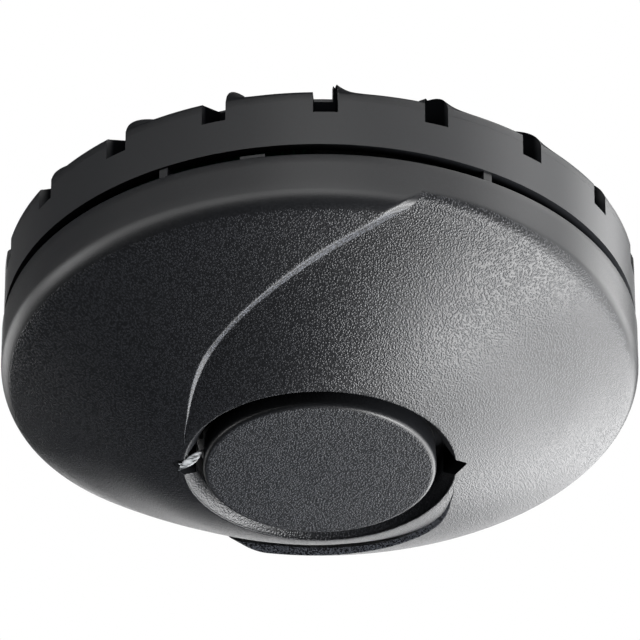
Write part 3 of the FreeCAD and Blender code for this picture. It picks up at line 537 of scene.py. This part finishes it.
def stepAzimuth(radius):
    # A smooth line through the edge's points
    radius = min(max(radius, cover["rimRadius"]), cover["bandRadius"])
    count = len(stepEdge)
    index = next((i for i in range(count - 2) if radius < stepEdge[i + 1][0]), count - 2)

    def slope(i):
        low, high = max(i - 1, 0), min(i + 1, count - 1)
        return (stepEdge[high][1] - stepEdge[low][1]) / (stepEdge[high][0] - stepEdge[low][0])
    (startRadius, start), (endRadius, end) = stepEdge[index], stepEdge[index + 1]
    run = endRadius - startRadius
    t = (radius - startRadius) / run
    return ((2 * t ** 3 - 3 * t ** 2 + 1) * start + (t ** 3 - 2 * t ** 2 + t) * run * slope(index)
            + (3 * t ** 2 - 2 * t ** 3) * end + (t ** 3 - t ** 2) * run * slope(index + 1))


def flankArc():
    # The arc from the shoulder down to the rim: its middle's place and level, and its radius
    outer = (cover["bandRadius"] - cover["shoulderShare"] * cover["shoulderRound"], cover["flankStart"])
    inner = (cover["rimRadius"], cover["rimLevel"])
    run, fall = outer[0] - inner[0], outer[1] - inner[1]
    chord = math.hypot(run, fall)
    bulge = cover["flankBulge"]
    radius = (chord ** 2 / 4 + bulge ** 2) / (2 * bulge)
    middle = ((outer[0] + inner[0]) / 2 + bulge * fall / chord,
              (outer[1] + inner[1]) / 2 - bulge * run / chord)
    return middle[0] - radius * fall / chord, middle[1] + radius * run / chord, radius


flankX, flankZ, flankRadius = flankArc()
shoulderX = cover["bandRadius"] - cover["shoulderRound"]
shoulderZ = flankZ - math.sqrt((flankRadius - cover["shoulderRound"]) ** 2 - (shoulderX - flankX) ** 2)
shoulderReach = cover["shoulderRound"] / (flankRadius - cover["shoulderRound"])
shoulderEndX = shoulderX + (shoulderX - flankX) * shoulderReach
shoulderEndZ = shoulderZ + (shoulderZ - flankZ) * shoulderReach
shoulderTurn = math.atan2(shoulderZ - shoulderEndZ, shoulderEndX - shoulderX)


def flankLevel(radius, inset=0.0):
    # Level of the dome before its steps
    return flankZ - math.sqrt((flankRadius - inset) ** 2 - (radius - flankX) ** 2)


def smoothShare(value, low, high):
    # 0 below low, 1 over high and smooth between them
    share = min(max((value - low) / (high - low), 0.0), 1.0)
    return share * share * (3 - 2 * share)


def stepSlant(reach):
    # How much longer a width across the edge is when it is measured round the axis
    twist = math.radians(stepAzimuth(reach + 0.5) - stepAzimuth(reach - 0.5)) * reach
    return math.sqrt(1 + min(twist, cover["mostTwist"]) ** 2)


def stepFull(radius):
    # Height of the step: it grows outwards and sinks again towards the band
    fade = 1 - (1 - cover["bandShare"]) * smoothShare(radius, cover["fadeStart"], cover["fadeEnd"])
    return max(0.0, cover["stepGain"] * (radius - cover["stepStart"])) * fade


def bevelWide(radius):
    # Width of the bevel along the step's edge, which carries a painted highlight
    outer = smoothShare(radius, cover["outerStart"], cover["outerEnd"])
    wide = cover["edgeWidth"] + cover["outerWidth"] * outer
    rise = cover["edgeShare"] * stepFull(radius)
    return max(min(wide, rise / cover["edgeSlope"] / (1 - cover["edgeBlend"] / 2)), cover["leastRound"])


def coverColumns():
    # Close together over the step's edge, then evenly on to the other step
    edge, side = cover["edgeColumns"], cover["sideColumns"]
    columns = [("edge", i / edge) for i in range(edge + 1)]
    columns += [("foot", share) for share in cover["footColumns"]]
    return columns + [("side", i / side) for i in range(side + 1)]


# The cover's section from the slot to the well and back inside: each stretch has its first and last step,
# and how many steps it is divided into
coverStretches = (
    ("lip", 0, 4, 4), ("band", 1, 3, 4), ("shoulder", 0, 10, 10), ("flank", 1, 43, 44), ("rim", 0, 5, 5),
    ("slope", 1, 6, 6), ("well", 1, 2, 3), ("foot", 0, 3, 3), ("floor", 1, 4, 4), ("floorBack", 0, 4, 4),
    ("flankBack", 0, 12, 12), ("shoulderBack", 1, 5, 5), ("bandBack", 1, 1, 1),
)


def coverRows():
    return [(zone, i / count) for zone, first, last, count in coverStretches for i in range(first, last + 1)]


def columnLift(column, radius):
    # The rise at a column, and how far it stands round from the step's edge, in degrees
    kind, share = column
    full, wide = stepFull(radius), bevelWide(radius)
    reach = max(radius, cover["rimRadius"])
    turnPerWidth = math.degrees(stepSlant(reach) / reach)
    if kind == "side":
        last = 180 - wide * turnPerWidth - cover["lastGap"]
        turn = cover["firstTurn"] + (last - cover["firstTurn"]) * share
        near = 1 - smoothShare(radius, cover["spanStart"], cover["outerEnd"])
        span = cover["stepSpan"] + (cover["wellSpan"] - cover["stepSpan"]) * near
        return full * 0.5 * (1 + math.cos(math.pi * min(turn / span, 1))), turn
    if kind == "edge":
        run, blend = share * wide, cover["edgeBlend"] * wide
        drop = run * run / (2 * blend) if run < blend else run - blend / 2
        return cover["edgeSlope"] * drop, (run - wide) * turnPerWidth
    angle = 0.5 * math.pi * share
    foot = min(cover["footRound"], cover["footShare"] * full)
    aside = max(foot, cover["leastRound"]) * (1 - math.cos(angle)) + cover["riserSlope"] * (full + 1)
    return full - foot * (1 - math.sin(angle)), aside * turnPerWidth


def coverPoint(row, column):
    # Radius, azimuth and level where a row meets a column
    zone, share = row
    rim, rimLow, wall = cover["rimRadius"], cover["rimLevel"], cover["wall"]
    inside = zone.endswith("Back")
    if zone == "lip":
        angle = 0.5 * math.pi * share
        radius = cover["bandRadius"] - cover["lipRound"] * (1 - math.sin(angle))
        level = cover["slotBottom"] - cover["lipRound"] * (1 - math.cos(angle))
    elif zone in ("band", "bandBack"):
        radius = cover["bandRadius"] - (wall if inside else 0)
        low = shoulderZ + columnLift(column, cover["bandRadius"])[0]
        level = cover["slotBottom"]
        if not inside:
            level = (cover["slotBottom"] - cover["lipRound"]) * (1 - share) + low * share
    elif zone in ("shoulder", "shoulderBack"):
        turn = shoulderTurn * (1 - share if inside else share)
        size = cover["shoulderRound"] - (wall if inside else 0)
        radius, level = shoulderX + size * math.cos(turn), shoulderZ - size * math.sin(turn)
        high = columnLift(column, cover["bandRadius"])[0]
        low = columnLift(column, shoulderEndX)[0]
        level += high + (low - high) * turn / shoulderTurn
    elif zone == "flank":
        radius = shoulderEndX + (rim + cover["rimRound"] - shoulderEndX) * share
        level = flankLevel(radius) + columnLift(column, radius)[0]
    elif zone == "flankBack":
        last = shoulderX + (shoulderEndX - shoulderX) * (1 - wall / cover["shoulderRound"])
        first = rim + wall + cover["backGap"]
        radius = first + (last - first) * share
        level = flankLevel(radius, wall) + columnLift(column, radius)[0]
    elif zone == "rim":
        outer = rim + cover["rimRound"]
        radius, level = bend(share, (outer, flankLevel(outer)), (rim, rimLow),
                             (rim - cover["rimDraft"], rimLow + cover["rimRound"]))
    elif zone == "slope":
        radius, level = bend(share, (rim - cover["rimDraft"], rimLow + cover["rimRound"]),
                             (cover["slopeRadius"] + cover["slopeIn"], rimLow + cover["slopeDrop"]),
                             (cover["slopeRadius"], cover["slopeLevel"]))
    elif zone == "well":
        radius = cover["slopeRadius"] + (cover["floorRadius"] - cover["slopeRadius"]) * share
        level = cover["slopeLevel"] + (cover["floorLevel"] - cover["slopeLevel"]) * share
    elif zone == "foot":
        foot, edge, floor = cover["wellFoot"], cover["floorRadius"], cover["floorLevel"]
        radius, level = bend(share, (edge, floor - foot), (edge, floor), (edge - foot, floor))
    elif zone == "floor":
        first = cover["floorRadius"] - cover["wellFoot"]
        radius, level = first + (cover["mouthRadius"] - first) * share, cover["floorLevel"]
    else:
        last = rim + wall + cover["backGap"]
        radius, level = cover["mouthRadius"] + (last - cover["mouthRadius"]) * share, cover["floorTop"]
    reach = max(radius, rim)
    azimuth = stepAzimuth(reach) + columnLift(column, reach)[1]
    if inside:
        azimuth -= math.degrees(cover["riserWall"] * stepSlant(reach) / reach) * min(1, max(0, radius - rim))
    return radius, azimuth, level


def vCutter(side):
    # A V-shaped prism over the well's wall: a cube whose outer edge is drawn together
    deselectAll()
    bpy.ops.mesh.primitive_cube_add(size=1, location=(0, 0, 0))
    cutter = bpy.context.object
    base, apex = cover["rimRadius"] - cover["notchInset"], cover["rimRadius"] + cover["notchDepth"]
    wide = cover["notchHalf"] * (apex - base) / (apex - cover["rimRadius"])
    for vertex in cutter.data.vertices:
        outer = vertex.co.x > 0
        across = (cover["notchTip"] if outer else wide) * (1 if vertex.co.y > 0 else -1)
        level = cover["rimLevel"] - cover["notchUnder"]
        if vertex.co.z > 0:
            level = cover["floorLevel"] - cover["notchOver"]
        vertex.co = Vector((side * (apex if outer else base), across, level)) * mm
    closeUp(cutter)
    return cutter


def makeShell():
    # The cover's closed skin, with the satin band, the grained dome and the bevel with its painted highlight as
    # its materials
    columns, rows = coverColumns(), coverRows()

    def place(i, j):
        half, index = divmod(i, len(columns))
        radius, azimuth, level = coverPoint(rows[j % len(rows)], columns[index])
        return around(radius, azimuth + 180 * half, level)
    shell = shapedGrid("coverShell", 2 * len(columns), len(rows), place)
    zones = [zone for zone, share in rows]
    bandRows = zones.count("lip") + zones.count("band") + 2  # two rows of the shoulder stay satin
    grainEnd = zones.index("well")
    for material in (casePlastic, domePlastic, edgePlastic):
        shell.data.materials.append(material)
    for face in shell.data.polygons:
        row, column = divmod(face.index, 2 * len(columns))
        kind, value = columns[column % len(columns)]
        proud = 1 if kind == "edge" else 0
        if kind == "side":
            proud = smoothShare(value, cover["satinStart"], cover["satinEnd"])
        start = bandRows + round(cover["satinRows"] * proud)
        # The bevel's faces take the lighter plastic: a painted highlight
        bevel = kind == "edge" and cover["grainShare"] < value < 1
        face.material_index = 0 if not start <= row < grainEnd else 2 if bevel else 1
    closeUp(shell)
    return shell


# What goes through the well's floor, and the sounder's mouth with its hub and spokes
coverFloor = {"hub": 4.6, "hubSides": 48, "spoke": 3.0, "spokeAzimuths": (45.0, 165.0, 285.0),
              "spokeShare": 0.7, "spokeRoot": 1, "spokeEnd": 0.5, "spokeInset": 0.1, "cutOver": 1,
              "legAzimuths": (-15.0, 105.0, 225.0), "legInner": 21.8, "legOuter": 25.5, "legSpan": 12.0,
              "drainInner": 25.6, "drainOuter": 26.4, "drainSpan": 30.0, "drainSteps": 10}


def cutCover(shell):
    # The two V-notches, the slots of the button's legs and the drains outside the spokes
    low, high = cover["floorLevel"] - coverFloor["cutOver"], cover["floorTop"] + coverFloor["cutOver"]
    cutters = [vCutter(side) for side in (-1, 1)]
    for azimuth in coverFloor["legAzimuths"]:
        cutters.append(arcBlock("cutter", coverFloor["legInner"], coverFloor["legOuter"], low, high, azimuth,
                                coverFloor["legSpan"]))
    for azimuth in coverFloor["spokeAzimuths"]:
        cutters.append(arcBlock("cutter", coverFloor["drainInner"], coverFloor["drainOuter"], low, high,
                                azimuth, coverFloor["drainSpan"], coverFloor["drainSteps"]))
    print("cover shell", len(shell.data.polygons), "faces before its cuts")
    carve(shell, cutters)
    print("cover shell", len(shell.data.polygons), "faces after them")


def mouthPieces():
    # Spokes and hub
    low, high = cover["floorLevel"], cover["floorTop"]
    span = 2 * math.degrees(math.asin(coverFloor["spoke"] / 2 / coverFloor["hub"]))
    pieces = []
    for azimuth in coverFloor["spokeAzimuths"]:
        pieces.append(arcBlock("spoke", coverFloor["hub"] - coverFloor["spokeRoot"],
                               cover["mouthRadius"] + coverFloor["spokeEnd"], low + coverFloor["spokeInset"],
                               high - coverFloor["spokeInset"], azimuth, span * coverFloor["spokeShare"]))
    bpy.ops.mesh.primitive_cylinder_add(vertices=coverFloor["hubSides"], radius=coverFloor["hub"] * mm,
                                        depth=(high - low) * mm, location=(0, 0, (high + low) / 2 * mm))
    bpy.ops.object.transform_apply(location=True, rotation=True, scale=True)
    return pieces + [bpy.context.object]


# Ribs and snap tabs in the smoke slot
slotRibs = {"count": 6, "phase": 31.2, "span": 1.64, "inner": 66.3, "outer": 69.5, "root": 2,
            "tabAzimuths": (-12.0, 108.0, 228.0), "tabSpan": 4.5, "tabOuter": 69.2, "tabTop": -25.35,
            "tabInner": 67.5, "tabRoot": 1}


def slotPieces():
    pieces = []
    pitch = 360 / slotRibs["count"]
    for i in range(slotRibs["count"]):
        pieces.append(arcBlock("rib", slotRibs["inner"], slotRibs["outer"],
                               cover["slotBottom"] - slotRibs["root"], slotTop / mm,
                               slotRibs["phase"] + pitch * i, slotRibs["span"], 2))
    for azimuth in slotRibs["tabAzimuths"]:
        pieces.append(arcBlock("tab", slotRibs["tabInner"], slotRibs["tabOuter"],
                               cover["slotBottom"] - slotRibs["tabRoot"], slotRibs["tabTop"], azimuth,
                               slotRibs["tabSpan"], 3))
    return pieces


def makeCover():
    shell = makeShell()
    cutCover(shell)
    extras = mouthPieces() + slotPieces()
    for piece in extras:
        setMaterial(piece, casePlastic)
    shell = joined([shell] + extras, "coverShell")
    smoothed(shell, cover["smoothTo"])
    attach(shell, "alarm")
    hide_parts("front_cover")


# The test button, in millimetres and degrees
button = {"radius": 25.6, "edge": 1.4, "wall": 1.7, "skirt": 6.6, "draft": 0.3, "backRound": 0.3,
          "sides": 192, "sink": 1, "faceDepth": 0.1, "smoothTo": 35,
          "stem": 2.15, "stemRise": 2.5, "stemRound": 0.2, "stemSides": 32,
          "legAzimuths": (-15.0, 105.0, 225.0), "legInner": 22.2, "legOuter": 24.2, "legSpan": 10.0,
          "legRise": 2.4, "pressLegTop": -27.8, "hook": 0.9, "hookGap": 0.4, "hookHeight": 1.1,
          "hookSink": 0.2, "ribs": 6, "ribSpan": 3.2, "ribPhase": 20, "ribInner": 5.0, "ribGap": 0.2,
          "ribHeight": 1.2}


def makeButton():
    # A cap with a rounded edge, three snap legs, ribs and the spring's stem
    face = discFace / mm
    foot = face + button["sink"]
    radius, wall = button["radius"], button["wall"]
    back, inner = face + button["skirt"], radius - wall - button["draft"]
    outline = rounded([(0, face, 0), (radius, face, button["edge"]),
                       (radius - button["draft"], back, button["backRound"]),
                       (inner, back, button["backRound"]), (inner, face + 2 * wall, 0),
                       (inner - wall, face + wall, 0), (0, face + wall, 0)], 8)
    cap = turnedPiece("buttonCap", outline, button["sides"])
    cap.data.materials.append(casePlastic)
    cap.data.materials.append(discPlastic)
    for polygon in cap.data.polygons:
        seen = polygon.normal.z < -0.9 and polygon.center.z < discFace + button["faceDepth"] * mm
        polygon.material_index = 1 if seen else 0
    extras = []
    hookLevel = cover["floorTop"] + button["hookGap"]
    for index, azimuth in enumerate(button["legAzimuths"]):
        # The first leg presses the switch
        tip = button["pressLegTop"] if index == 0 else hookLevel + button["legRise"]
        extras.append(arcBlock("leg", button["legInner"], button["legOuter"], foot, tip, azimuth,
                               button["legSpan"]))
        extras.append(arcBlock("hook", button["legOuter"] - button["hookSink"],
                               button["legOuter"] + button["hook"], hookLevel,
                               hookLevel + button["hookHeight"], azimuth, button["legSpan"]))
    pitch = 360 / button["ribs"]
    for i in range(button["ribs"]):
        extras.append(arcBlock("rib", button["ribInner"], inner - button["ribGap"], foot,
                               face + wall + button["ribHeight"], button["ribPhase"] + pitch * i,
                               button["ribSpan"], 1))
    stemTop = face + wall + button["stemRise"]
    stem = [(0, foot, 0), (button["stem"], foot, 0), (button["stem"], stemTop, button["stemRound"]),
            (0, stemTop, 0)]
    extras.append(turnedPiece("stem", rounded(stem, 3), button["stemSides"]))
    for piece in extras:
        setMaterial(piece, casePlastic)
    cap = joined([cap] + extras, "buttonCap")
    smoothed(cap, button["smoothTo"])
    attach(cap, "button")
    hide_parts("test_button")


# The light pipe, in millimetres: first and last are the leaf's two points
lens = {"circle": 30.0, "rod": 1.8, "flange": 2.7, "flangeHigh": 1.2, "rodTop": -26.8, "rodSides": 40,
        "neck": 1.1, "neckLow": -59.6, "neckHigh": 1.6, "endRound": 0.3, "flangeRound": 0.2, "seatGap": 0.02,
        "first": (-31.0, 0.85, -60.95), "last": (-25.2, -4.9, -59.1), "half": 1.35, "thick": 0.5, "rings": 24,
        "sides": 32, "pointed": 1.6, "full": 0.9, "leastRing": 0.05, "ridge": 0.35, "smoothTo": 40}


def makeLens():
    # A pointed leaf of clear plastic slants from the notch into the well, under a rod up to the light
    deselectAll()
    bpy.ops.mesh.primitive_uv_sphere_add(segments=lens["sides"], ring_count=lens["rings"], radius=1,
                                         location=(0, 0, 0))
    leaf = bpy.context.object
    first, last = Vector(lens["first"]), Vector(lens["last"])
    along = (last - first) / 2
    across = along.cross(Vector((0, 0, 1))).normalized()
    out = along.normalized().cross(across)
    for vertex in leaf.data.vertices:
        x, y, z = vertex.co
        ring = max(math.sqrt(max(1 - z * z, 0)), lens["leastRing"])
        waist = (1 - abs(z) ** lens["pointed"]) ** lens["full"] / ring
        ridge = 1 - lens["ridge"] * abs(y)
        spot = first + along * (1 + z) + across * x * lens["half"] * waist
        vertex.co = (spot + out * y * lens["thick"] * waist * ridge) * mm
    low = cover["floorLevel"] - lens["neckHigh"]
    flangeLow, flangeTop = cover["floorTop"] + lens["seatGap"], cover["floorTop"] + lens["flangeHigh"]
    rod = [(0, lens["neckLow"], 0), (lens["neck"], lens["neckLow"], lens["endRound"]), (lens["neck"], low, 0),
           (lens["rod"], low, 0), (lens["rod"], flangeLow, 0),
           (lens["flange"], flangeLow, lens["flangeRound"]), (lens["flange"], flangeTop, lens["flangeRound"]),
           (lens["rod"], flangeTop, 0), (lens["rod"], lens["rodTop"], lens["endRound"]),
           (0, lens["rodTop"], 0)]
    stem = turnedPiece("lensRod", rounded(rod, 4), lens["rodSides"], (-lens["circle"], 0))
    piece = joined([leaf, stem], "lightLens")
    setMaterial(piece, clearPlastic)
    smoothed(piece, lens["smoothTo"])
    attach(piece, "alarm")
    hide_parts("light_pipe")


# The ring's teeth, in millimetres and degrees: one end of each rises in a curve from the ring's wall
teeth = {"count": 18, "notch": 4.4, "phase": 1.0, "gap": 0.02, "ringRadius": 70.0, "floorRise": 8.45,
         "edgeRise": 4.7, "corner": 0.9, "slope": 0.49, "highRise": 3.9, "highGain": 3.35, "ramp": 6.04,
         "rampStart": 1.76, "skin": 0.006, "clear": 0.12, "root": 1.5, "rampColumns": 12, "plainColumns": 6,
         "steep": 0.3, "aside": 0.5, "smoothTo": 38,
         "depths": (0.0, 0.03, 0.08, 0.16, 0.3, 0.5, 0.75, 1.1, 1.6, 2.2, 3.0, 4.0, 5.2, 6.6, 8.2, 10.0,
                    12.3)}


def toothRise(depth, share):
    # Height over the notches' floor, at a depth in from the ring's wall and a share of the ramp
    corner = teeth["corner"]
    if depth < corner:
        low = teeth["edgeRise"] + corner * math.sqrt(1 - (1 - depth / corner) ** 2)
    else:
        low = teeth["edgeRise"] + corner + teeth["slope"] * (depth - corner)
    high = teeth["highRise"] + teeth["highGain"] * math.sqrt(depth)
    return low + (1 - share) ** 2 * max(0, high - low)


def toothSkin(middle, turns):
    # A sheet over one tooth, whose open edge is drawn down to the root and filled
    floorLevel = slotTop / mm + teeth["floorRise"]
    depths = teeth["depths"]

    def place(i, j):
        turn = turns[min(max(i - 1, 0), len(turns) - 1)]
        rise = toothRise(depths[j], min((turn - teeth["rampStart"]) / teeth["ramp"], 1))
        if i in (0, len(turns) + 1):
            rise = teeth["edgeRise"] - teeth["root"]
        rise += teeth["skin"] + teeth["clear"] * smoothShare(depths[j], 0, teeth["corner"])
        return around(teeth["ringRadius"] + teeth["skin"] - depths[j], middle + turn, floorLevel + rise)
    skin = shapedGrid("tooth", len(turns) + 1, len(depths) - 1, place)
    makeActive(skin)
    bpy.ops.object.mode_set(mode="EDIT")
    bpy.ops.mesh.select_all(action="SELECT")
    bpy.ops.mesh.remove_doubles(threshold=mergeGap / 2)
    bpy.ops.mesh.select_all(action="DESELECT")
    bpy.ops.mesh.select_non_manifold()
    bpy.ops.mesh.extrude_region_move(TRANSFORM_OT_translate={"value": (0, 0, 0)})
    bpy.ops.object.mode_set(mode="OBJECT")
    root = (floorLevel + teeth["edgeRise"] - teeth["root"]) * mm
    for vertex in skin.data.vertices:
        if vertex.select:
            vertex.co.z = root
    bpy.ops.object.mode_set(mode="EDIT")
    bpy.ops.mesh.edge_face_add()
    bpy.ops.object.mode_set(mode="OBJECT")
    closeUp(skin)
    return skin


def makeTeeth():
    # One skin for each tooth, from notch to notch
    pitch = 360 / teeth["count"]
    first = teeth["notch"] / 2 + teeth["gap"]
    last = pitch - teeth["notch"] / 2 - teeth["gap"]
    rampEnd = teeth["rampStart"] + teeth["ramp"]
    ramp, plain = teeth["rampColumns"], teeth["plainColumns"]
    turns = [first + (rampEnd - first) * i / ramp for i in range(ramp + 1)]
    turns += [rampEnd + (last - rampEnd) * i / plain for i in range(1, plain + 1)]
    skins = [toothSkin(teeth["phase"] + pitch * tooth, turns) for tooth in range(teeth["count"])]
    ring = joined(skins, "toothRing")
    ring.data.materials.append(casePlastic)
    ring.data.materials.append(ringPlastic)
    # Upright faces at the notches take the ring's material, and with it its painted shade
    for face in ring.data.polygons:
        outwards = Vector((face.center.x, face.center.y, 0)).normalized()
        upright = abs(face.normal.z) < teeth["steep"] and abs(face.normal.dot(outwards)) < teeth["aside"]
        face.material_index = 1 if upright else 0
    smoothed(ring, teeth["smoothTo"])
    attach(ring, "alarm")


# Softened copies of the CAD's own pieces: node, piece, body, edge in millimetres
softened = (
    ("mounting_bracket", "ceilingRing", "bracket", 0.2),
    ("battery_door", "batteryLid", "door", 0.2),
)


def makeSoftened():
    # Each copy takes the material of its node's slot, and the node is hidden
    for nodeName, name, body, width in softened:
        slotName = next(part["material_slot"] for part in frame["record"]["subparts"]
                        if part["node"] == nodeName)
        piece = dressed(nodeName, name, width)
        setMaterial(piece, materials[slotName])
        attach(piece, body)
        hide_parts(nodeName)


spring = {"slack": 0.05}  # millimetres left between coil and button


def makeSpring():
    # A softened copy of the coil on its own mesh; the share of its height left at a full press is worked out but
    # not used
    piece = dressed("button_spring", "springCoil", 0)
    low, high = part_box("button_spring")
    press = next(joint for joint in frame["joints"] if joint["name"] == "button_press")
    setMaterial(piece, materials["spring_steel"])
    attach(piece, "alarm")
    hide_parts("button_spring")
    keep = 1 - (max(press["range_m"]) + spring["slack"] * mm) / (high.z - low.z)
    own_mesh(piece)


placeCamera()
buildStudio()
print("studio ready")
casePlastic = caseMaterial("casePlastic", finish["satinRough"], finish["satinGrain"], finish["satinTint"])
domePlastic = caseMaterial("domePlastic", finish["sparkRough"], finish["sparkGrain"], finish["sparkTint"])
discPlastic = caseMaterial("discPlastic", finish["sparkRough"], finish["discGrain"], finish["discTint"])
# A much lighter copy of the case plastic: a painted highlight on the bevel
edgePlastic = caseMaterial("edgePlastic", finish["edgeRough"], finish["satinGrain"], finish["edgeHighlightTint"])
ringPlastic = ringMaterial()
clearPlastic = clearMaterial()
materials = {"case_black": casePlastic, "green_board": boardMaterial(), "clear_plastic": clearPlastic,
             "battery_skin": wrapperMaterial()}
for slotName, values in finishes.items():
    materials[slotName] = fineMaterial(*values)
for slotName, material in materials.items():
    paint(slotName, material)
# The ring takes the material with painted shade in its deep faces
nodes["back_housing"].data.materials[0] = ringPlastic
print("materials ready")
makeCover()
print("cover ready")
makeButton()
makeLens()
print("button and lens ready")
makeTeeth()
print("teeth ready")
makeSoftened()
makeSpring()
print("softened pieces ready")
